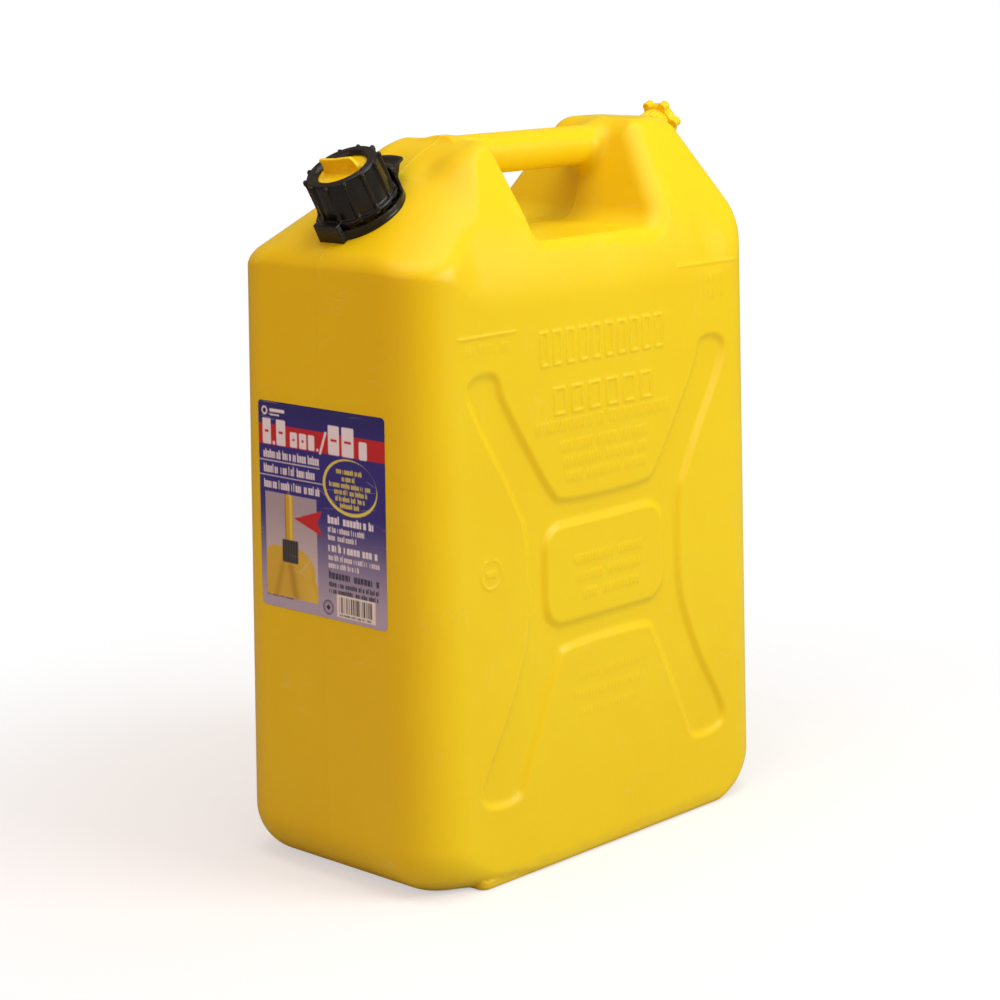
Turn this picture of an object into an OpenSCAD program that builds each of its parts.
// Twenty litre fuel jerry can: a blow-moulded body with a carry handle, a screw collar that clamps
// a closure disc and a stowed pouring spout on the front neck, a child-resistant lock ring with a
// release tab, and a lobed vent cap on the rear slope.
// Origin: centre of the footprint, on the plane the can rests on.
// +Z up, X along the can's length with the filling neck at -X (the front), Y across.

/* [Body] */
// Length of the body at mid height, along X
body_len = 332; // [326:1:338]
// Width of the body at mid height, along Y
body_wid = 176.8; // [172:0.2:182]
// Height of the two humps that carry the handle
body_top = 464; // [463:0.5:465]
// Radius of the four upright corners
corner_r = 35.6; // [32:0.2:38]
// Widening of each narrow end from mid height to 200 mm lower
draft_x = 2.25; // [1:0.25:3]
// Widening of each broad side from mid height to 200 mm lower
draft_y = 3; // [2:0.25:4]
// Radius of the bottom edge under the narrow ends
foot_rx = 28; // [20:1:32]
// Radius of the bottom edge under the broad sides
foot_ry = 11; // [8:1:16]
// Wall thickness of the moulding
wall = 2.5; // [2:0.1:3]
// Depth of the stiffening channel pressed into each broad side
relief_depth = 2.6; // [1.5:0.1:3.2]
// Height by which the base's two bays stand clear of the ground
base_lift = 3; // [2:0.5:4]

/* [Handle] */
// Radius of the round handle tube
handle_r = 13; // [12:0.25:14]
// Height of the handle tube's axis
handle_z = 449.5; // [449:0.25:450.5]
// Height of the floor of the hand recess
recess_z = 400.5; // [399:0.5:402]

/* [Neck] */
// Where the neck's axis meets the front slope, along X
neck_x = -122.7; // [-124:0.1:-121]
// Where the neck's axis meets the front slope, along Z
neck_z = 417; // [416:0.1:418]
// Lean of the neck towards the front, from upright
neck_tilt = 30; // [29:0.5:31]
// Radius of the neck's plain outside
neck_r = 20.3; // [20.1:0.1:20.4]
// Radius of the neck's bore
neck_bore_r = 17.2; // [16.8:0.1:17.6]
// Height of the neck's rim above the slope
neck_h = 28.2; // [28:0.1:28.4]
// Pitch of the neck thread
neck_pitch = 6; // [5.9:0.05:6.1]
// Radial height of the neck thread
thread_h = 1.4; // [1.1:0.1:1.5]

/* [Collar] */
// Radius of the collar's wall outside, between its ribs
collar_r = 23.6; // [23.4:0.1:24.2]
// Number of grip ribs round the collar
collar_ribs = 12; // [8:1:16]
// Height of the collar's top above the slope
collar_top = 38; // [38:0.1:38.6]
// Thickness of the collar's inward lip
collar_lip = 3.2; // [3:0.1:3.2]
// Radius of the opening in the collar's lip
collar_open_r = 16; // [15.6:0.2:17]
// Turning angle of the closure's finger grip about the neck axis
fin_turn = 99; // [0:1:180]

/* [Lock ring] */
// Outside radius of the lock ring
ring_r = 29; // [28.5:0.1:29.5]
// Height of the ring's top above the slope
ring_top = 9; // [8.6:0.1:9.1]
// Angle that the release tab spans round the ring
tab_span = 48; // [40:1:50]

/* [Vent] */
// Lean of the vent towards the rear, from upright
vent_tilt = 68.5; // [67:0.5:70]
// Centre of the vent cap's outer face, along X
vent_cx = 165; // [164:0.5:166]
// Centre of the vent cap's outer face, along Z
vent_cz = 462; // [461:0.5:463]
// Radius of the plain vent neck
vent_r = 8; // [7.8:0.1:8]
// Number of lobes round the vent cap
vent_lobes = 6; // [4:1:8]

/* [Label] */
// Width of the stuck-on label
label_w = 113.5; // [100:0.5:116]
// Height of the stuck-on label
label_h = 131.5; // [110:0.5:134]
// Height of the label's centre above the ground
label_z = 238; // [200:1:250]

/* [Hidden] */

body_yellow = [0.96, 0.80, 0.06];
ring_black = [0.10, 0.10, 0.11];
collar_black = [0.09, 0.09, 0.10];
seal_grey = [0.16, 0.16, 0.17];
spout_yellow = [0.93, 0.78, 0.10];
cap_yellow = [0.97, 0.82, 0.06];
label_blue = [0.17, 0.12, 0.50];

neck_fn = 96; // facets of the round parts on the neck
vent_fn = 64; // facets of the round parts on the vent

half_len = body_len / 2;
half_wid = body_wid / 2;
draft_z = 200; // height at which the length and width hold
function half_len_at(z) = half_len + draft_x * (draft_z - z) / draft_z;
function half_wid_at(z) = half_wid + draft_y * (draft_z - z) / draft_z;

// ---- shared shapes ----

// The points mirrored in the second axis, in reverse order
function mirror_back(pts) = [for (i = [len(pts) - 1:-1:0]) [-pts[i][0], pts[i][1]]];
function mirrored(pts) = concat(pts, mirror_back(pts));

module washer(outer_r, inner_r, z, height, facets = neck_fn) {
    translate([0, 0, z]) difference() {
        cylinder(r = outer_r, h = height, $fn = facets);
        translate([0, 0, -1]) cylinder(r = inner_r, h = height + 2, $fn = facets);
    }
}

// A ring between two radii, kept within half_angle of the +X side
module arc_wall(inner_r, outer_r, bottom, top, half_angle) {
    translate([0, 0, bottom]) rotate([0, 0, -half_angle])
        rotate_extrude(angle = 2 * half_angle, $fn = neck_fn)
            translate([inner_r, 0]) square([outer_r - inner_r, top - bottom]);
}

module rounded_rect(width, height, radius, facets) {
    x = width / 2 - radius;
    y = height / 2 - radius;
    translate([-x, -height / 2]) square([2 * x, height]);
    translate([-width / 2, -y]) square([width, 2 * y]);
    for (sx = [-1, 1], sy = [-1, 1])
        translate([sx * x, sy * y]) circle(r = radius, $fn = facets);
}

// A right-hand screw thread: a ridge that is root_w wide at root_r and crest_w wide at crest_r,
// climbing from start_z and fading out at both ends
module thread(root_r, crest_r, root_w, crest_w, pitch, turns, start_z) {
    steps = ceil(turns * 28);
    section = [[root_r, -root_w / 2], [crest_r, -crest_w / 2],
               [crest_r, crest_w / 2], [root_r, root_w / 2]];
    points = [
        for (k = [0:steps])
            let (angle = 360 * turns * k / steps,
                 fade = min(1, 0.15 + 6 * min(k, steps - k) / steps))
            for (p = section)
                let (r = root_r + (p[0] - root_r) * fade)
                [r * cos(angle), r * sin(angle), start_z + pitch * angle / 360 + p[1]]
    ];
    last = 4 * steps;
    faces = concat(
        [[0, 1, 2, 3]],
        [for (k = [0:steps - 1], j = [0:3])
            let (next = (j + 1) % 4)
            [4 * k + j, 4 * k + 4 + j, 4 * k + 4 + next, 4 * k + next]],
        [[last + 3, last + 2, last + 1, last]]);
    polyhedron(points = points, faces = faces);
}

// The neck's frame: z up its axis from the slope, x towards the handle
module at_neck() {
    translate([neck_x, 0, neck_z]) rotate([0, -neck_tilt, 0]) children();
}

// The vent's frame: z out of the rear slope along its axis
vent_reach = 26.6; // from the slope to the cap's outer face
vent_x = vent_cx - vent_reach * sin(vent_tilt);
vent_z = vent_cz - vent_reach * cos(vent_tilt);
module at_vent() {
    translate([vent_x, 0, vent_z]) rotate([0, vent_tilt, 0]) children();
}

// ---- body ----

foot_levels = [0, 2, 5, 11, 19, 28]; // heights that step out the rounded bottom edge
tub_over = 6;                        // rise of the tub above the humps
slice = 0.01;
across = 240;                        // prism length along Y, more than the width
along = 400;                         // prism length along X, more than the length
channel_cut = 40;                    // thickness of the channel cutter
channel_window = [112, 60.5];        // plain panel left in the middle of the channel
channel_window_z = 189.75;
bay_x = 65;                          // centre of each base bay from the middle
bay_half = [53, 62];
bay_cut = 5;                         // reach of the bay cutter below the ground
handle_start = -66;
handle_len = 148;
neck_sink = 9;                       // depth of the neck's foot below the slope
neck_foot_r = 24;
neck_foot_top = 0.4;
thread_z = 13.2;                     // height of the neck thread's start
vent_sink = 7;
vent_h = 18;
vent_foot_r = 12;
vent_foot_top = 2.5;
vent_bore_r = 5.2;
bore_start = -14;                    // both bores start this far inside the slope

// Side view of the body, [x, z]
side_outline = [
    [-half_len_at(0) - 1, -1], [-half_len_at(0) - 1, 0], [-half_len_at(368), 368],
    [-half_len + 3.5, 384], [-half_len + 7, 391.5], [-half_len + 13.5, 399.8],
    [-87, 437.5], [-69, 449], [-61, 458], [-54, 462], [-45, body_top - 1],
    [86, body_top - 1], [100, body_top], [122, body_top], [130, body_top - 2],
    [135.5, 459.5], [139.5, 453.5], [half_len - 3.5, 395], [half_len - 1.8, 388],
    [half_len_at(378), 378], [half_len_at(0) + 1, 0], [half_len_at(0) + 1, -1]];

// Half of the end view, [y, z]: the humps lean inwards above the shoulder
end_outline = [
    [half_wid_at(0) + 1, -1], [half_wid_at(386), 386], [half_wid_at(386) - 1.8, 393],
    [78.5, 404], [66, 421], [55, 438], [46.5, 450], [40, 457], [32, 461.5], [22, body_top]];

// Side view of the hand recess between the humps, [x, z]
recess_outline = [
    [-68, 475], [-62, 452], [-57.5, 438], [-56, 420], [-54, 408], [-49, 402.5],
    [-42, recess_z], [48, recess_z], [58, 402.5], [66, 409], [75, 424], [79.5, 442],
    [84, 460], [86, 475]];

// Half of the stiffening channel, [x, z]: its outer edge from the top lobe down, round the
// lower arm and back up that arm's inner edge
channel_outer = [
    [94, 320], [98, 325.5], [106, 327.5], [118, 326.5], [125.5, 321], [126, 313], [116, 293],
    [99, 266], [84, 239], [75, 222], [75, 160], [86, 131], [97, 108], [121, 70], [122.5, 59],
    [115, 51.5], [92, 50], [82, 55], [80, 63], [60, 105], [46, 135], [41, 141]];
// Inner edge of the upper arm, [x, z], from the bottom up
channel_inner = [[42, 238], [48, 244], [55, 253], [67, 271], [80, 291], [93, 312]];

// How far a rounded bottom edge draws the foot in at height z
function foot_inset(radius, z) =
    z >= radius ? 0 : radius - sqrt(radius * radius - (radius - z) * (radius - z));

// One level of the tub: four corner discs, drawn in by inset_x and inset_y
module tub_level(z, inset_x, inset_y, inset) {
    for (sx = [-1, 1], sy = [-1, 1])
        translate([sx * (half_len_at(z) - inset_x - corner_r),
                   sy * (half_wid_at(z) - inset_y - corner_r), z])
            cylinder(r = corner_r - inset, h = slice, $fn = 40);
}

// The tapered, round-cornered tub that all of the body lies within
module tub(inset) {
    hull() {
        for (z = foot_levels)
            tub_level(z + inset, foot_inset(foot_rx, z), foot_inset(foot_ry, z), inset);
        tub_level(body_top + tub_over - inset, 0, 0, inset);
    }
}

// A side view outline drawn out across the can
module side_prism(outline, grow) {
    rotate([90, 0, 0]) linear_extrude(height = across, center = true)
        offset(delta = grow) polygon(outline);
}

module end_prism(inset) {
    rotate([90, 0, 90]) linear_extrude(height = along, center = true)
        offset(delta = -inset) polygon(mirrored(end_outline));
}

module channel_shape() {
    difference() {
        polygon(concat(mirrored(channel_outer), mirror_back(channel_inner), channel_inner));
        translate([0, channel_window_z])
            rounded_rect(channel_window[0], channel_window[1], radius = 14, facets = 48);
    }
}

// Cutters for both channels, leaned to follow the draft of the broad sides
module channels(grow) {
    for (side = [-1, 1])
        translate([0, side * half_wid, draft_z]) rotate([side * atan(draft_y / draft_z), 0, 0])
            translate([0, side * (channel_cut / 2 - relief_depth - grow), -draft_z])
                rotate([90, 0, 0]) linear_extrude(height = channel_cut, center = true)
                    offset(delta = grow) channel_shape();
}

// The two lifted bays of the base, either side of its middle rib
module base_bays(grow) {
    for (side = [-1, 1])
        translate([side * bay_x - bay_half[0] - grow, -bay_half[1] - grow, -bay_cut])
            cube([2 * (bay_half[0] + grow), 2 * (bay_half[1] + grow),
                  bay_cut + base_lift + grow]);
}

// The body as a solid: its outside at inset 0, its hollow at the wall thickness
module can_solid(inset) {
    difference() {
        intersection() {
            tub(inset);
            side_prism(side_outline, -inset);
            end_prism(inset);
        }
        side_prism(recess_outline, inset);
        channels(inset);
        base_bays(inset);
    }
    translate([handle_start, 0, handle_z]) rotate([0, 90, 0])
        cylinder(r = handle_r - inset, h = handle_len, $fn = 64);
}

module neck_outside() {
    translate([0, 0, -neck_sink]) {
        cylinder(r = neck_r, h = neck_h + neck_sink, $fn = neck_fn);
        cylinder(r = neck_foot_r, h = neck_foot_top + neck_sink, $fn = neck_fn);
    }
    thread(root_r = neck_r - 0.4, crest_r = neck_r + thread_h, root_w = 3.4, crest_w = 1.6,
           pitch = neck_pitch, turns = 2, start_z = thread_z);
}

module vent_outside() {
    translate([0, 0, -vent_sink]) {
        cylinder(r = vent_r, h = vent_h + vent_sink, $fn = vent_fn);
        cylinder(r = vent_foot_r, h = vent_foot_top + vent_sink, $fn = vent_fn);
    }
}

module can_body() {
    color(body_yellow) difference() {
        union() {
            can_solid(0);
            at_neck() neck_outside();
            at_vent() vent_outside();
        }
        can_solid(wall);
        at_neck() translate([0, 0, bore_start])
            cylinder(r = neck_bore_r, h = neck_h + 20, $fn = neck_fn);
        at_vent() translate([0, 0, bore_start])
            cylinder(r = vent_bore_r, h = 40, $fn = vent_fn);
    }
}

// ---- lock ring and release tab, in the neck's frame ----

tab_gap = 1.5;              // angle between the tab and each end of the ring's gap
tab_inner_r = ring_r - 2;   // inside of the tab, shoulders and front pad
ring_inner_r = 21.2;
ring_base = [0.6, 3.2];     // bottom and top of the ring's floor
upright_z = 1;              // bottom of the tab, shoulders and front pad
shoulder_half = 8;          // half the angle of each shoulder
shoulder_top = 17;
front_pad = [5, 21, 14];
tab_top = 19.4;
thumb_pad = [8.6, 24, 2];   // reach beyond the ring, width, thickness
tab_rib_y = 9;
tab_rib_t = 1.8;
tab_rib_top = 17.8;

module lock_ring() {
    gap_half = tab_span / 2 + tab_gap;
    color(ring_black) at_neck() {
        difference() {
            rotate_extrude($fn = neck_fn) polygon([
                [ring_inner_r, ring_base[0]], [ring_r, ring_base[0]],
                [ring_r, ring_top - 0.6], [ring_r - 0.6, ring_top],
                [ring_r - 2.1, ring_top], [ring_r - 2.1, ring_base[1]],
                [ring_inner_r, ring_base[1]]]);
            // gap that frees the release tab
            arc_wall(ring_r - 2.6, ring_r + 3, 0, 20, gap_half);
        }
        // tall shoulders either side of the release tab
        for (side = [-1, 1])
            rotate([0, 0, side * (gap_half + shoulder_half)])
                arc_wall(tab_inner_r, ring_r - 0.1, upright_z, shoulder_top, shoulder_half);
        // flat pad on the front of the ring
        difference() {
            translate([-ring_r - 2, -front_pad[1] / 2, upright_z]) cube(front_pad);
            cylinder(r = tab_inner_r, h = 30, $fn = neck_fn);
        }
    }
}

// An upright wall in the ring's gap and a thumb pad that reaches towards the handle
module release_tab() {
    color(ring_black) at_neck() {
        arc_wall(tab_inner_r, ring_r, upright_z, tab_top, tab_span / 2);
        difference() {
            translate([0, -thumb_pad[1] / 2, tab_top - thumb_pad[2]])
                cube([ring_r + thumb_pad[0], thumb_pad[1], thumb_pad[2]]);
            cylinder(r = ring_r - 1.4, h = 41, $fn = neck_fn);
        }
        // ribs that carry the thumb pad
        for (side = [-1, 1])
            translate([0, side * tab_rib_y, 0]) rotate([90, 0, 0])
                linear_extrude(height = tab_rib_t, center = true) polygon([
                    [ring_r - 3.2, 9], [ring_r - 0.8, 9],
                    [ring_r + 6.4, tab_rib_top], [ring_r - 3.2, tab_rib_top]]);
    }
}

// ---- screw collar, in the neck's frame ----

collar_z = 9.5;             // bottom of the lock teeth
flange_r = 26.4;
grip_w = 3.4;
tooth_w = 9.2;
lug_size = [1.9, 5.6, 2.2];
lug_r = 20.95;              // inner face of the lugs

module collar_shell() {
    lip_z = collar_top - collar_lip;
    rotate_extrude($fn = neck_fn) polygon([
        [collar_r - 1.2, collar_z + 1.7], [flange_r, collar_z + 1.7],
        [flange_r, collar_z + 3.5], [collar_r + 0.6, collar_z + 4.3],
        [collar_r, collar_z + 7], [collar_r - 0.5, collar_top - 1.6],
        [collar_r - 1.6, collar_top - 0.2], [collar_r - 2, collar_top],
        [collar_open_r + 0.5, collar_top], [collar_open_r, collar_top - 0.6],
        [collar_open_r, lip_z], [collar_r - 1.4, lip_z]]);
}

// Twelve teeth under the flange, cut from a ring by six bars across it
module lock_teeth() {
    intersection() {
        washer(26, 22.8, collar_z, 2.4);
        union() for (k = [0:5])
            rotate([0, 0, 30 * k]) translate([-30, -tooth_w / 2, collar_z - 1])
                cube([60, tooth_w, 8]);
    }
}

module screw_collar() {
    color(collar_black) at_neck() {
        collar_shell();
        // grip ribs
        for (k = [0:collar_ribs - 1])
            rotate([0, 0, 360 * k / collar_ribs + 15])
                translate([collar_r - 1, -grip_w / 2, collar_z + 2.6])
                    cube([2.7, grip_w, collar_top - collar_z - 4.6]);
        lock_teeth();
        // lugs inside the skirt, on the neck thread's helix and half a pitch above it
        for (angle = [30:60:330])
            rotate([0, 0, angle])
                translate([lug_r, -lug_size[1] / 2,
                           thread_z + neck_pitch * (0.5 + angle / 360) - lug_size[2] / 2])
                    cube(lug_size);
    }
}

// ---- closure, stacked up from the neck's rim in the neck's frame ----

spout_seal_t = 1.3;
flange_t = 1.8;
disc_seal_t = 1.2;
flange_z = neck_h + spout_seal_t;
disc_seal_z = flange_z + flange_t;
disc_z = disc_seal_z + disc_seal_t;
disc_top = collar_top - collar_lip - 0.1; // just clear of the collar's lip

module closure_disc() {
    color(body_yellow) at_neck() {
        translate([0, 0, disc_z]) cylinder(r = 21, h = disc_top - disc_z, $fn = neck_fn);
        // finger grip across the disc, lower and sloped at one end
        rotate([0, 0, fin_turn]) rotate([90, 0, 0])
            linear_extrude(height = 2.6, center = true) polygon([
                [-11.5, disc_z + 0.5], [15.5, disc_z + 0.5], [15.5, disc_top + 8.6],
                [13.5, disc_top + 9.4], [-5.5, disc_top + 9], [-8.5, disc_top + 7],
                [-11.5, disc_top + 2]]);
    }
}

module disc_seal() {
    color(seal_grey) at_neck() washer(20.6, 16.6, disc_seal_z, disc_seal_t);
}

module spout_seal() {
    color(seal_grey) at_neck() washer(20.2, 17.2, neck_h, spout_seal_t);
}

// The pouring spout, stowed point down inside the can and held by its flange
module pour_spout() {
    color(spout_yellow) at_neck() rotate_extrude($fn = neck_fn) polygon([
        [20.4, flange_z], [20.4, disc_seal_z], [15.4, disc_seal_z], [14.3, flange_z - 9],
        [12.9, flange_z - 22], [8.4, flange_z - 164], [9.9, flange_z - 164],
        [10.1, flange_z - 160], [14.4, flange_z - 22], [15.8, flange_z - 9],
        [16.6, flange_z]]);
}

// ---- vent closure, in the vent's frame ----

cap_head_h = 7;
cap_head_z = vent_reach - cap_head_h;
lobe_inset = 0.3; // step from each face of the head to the lobes

module vent_cap() {
    color(cap_yellow) at_vent() difference() {
        union() {
            translate([0, 0, 5]) cylinder(r = 11, h = 15.5, $fn = vent_fn);
            translate([0, 0, cap_head_z]) cylinder(r = 12.6, h = cap_head_h, $fn = vent_fn);
            for (k = [0:vent_lobes - 1])
                rotate([0, 0, 360 * k / vent_lobes + 30])
                    translate([13.2, 0, cap_head_z + lobe_inset])
                        cylinder(r = 3.2, h = cap_head_h - 2 * lobe_inset, $fn = 32);
        }
        translate([0, 0, 4]) cylinder(r = 8.7, h = 15.3, $fn = vent_fn);
    }
}

module vent_seal() {
    color(seal_grey) at_vent() washer(8.2, 5.4, vent_h + 0.05, 1.15, vent_fn);
}

// ---- label, on the front end and leaned to follow its draft ----

module label() {
    color(label_blue) translate([-half_len_at(label_z) - 0.05, 0.75, label_z])
        rotate([0, atan(draft_x / draft_z), 0]) rotate([90, 0, -90])
            linear_extrude(height = 0.3) rounded_rect(label_w, label_h, radius = 3, facets = 32);
}

can_body();
lock_ring();
release_tab();
screw_collar();
closure_disc();
disc_seal();
pour_spout();
spout_seal();
vent_cap();
vent_seal();
label();
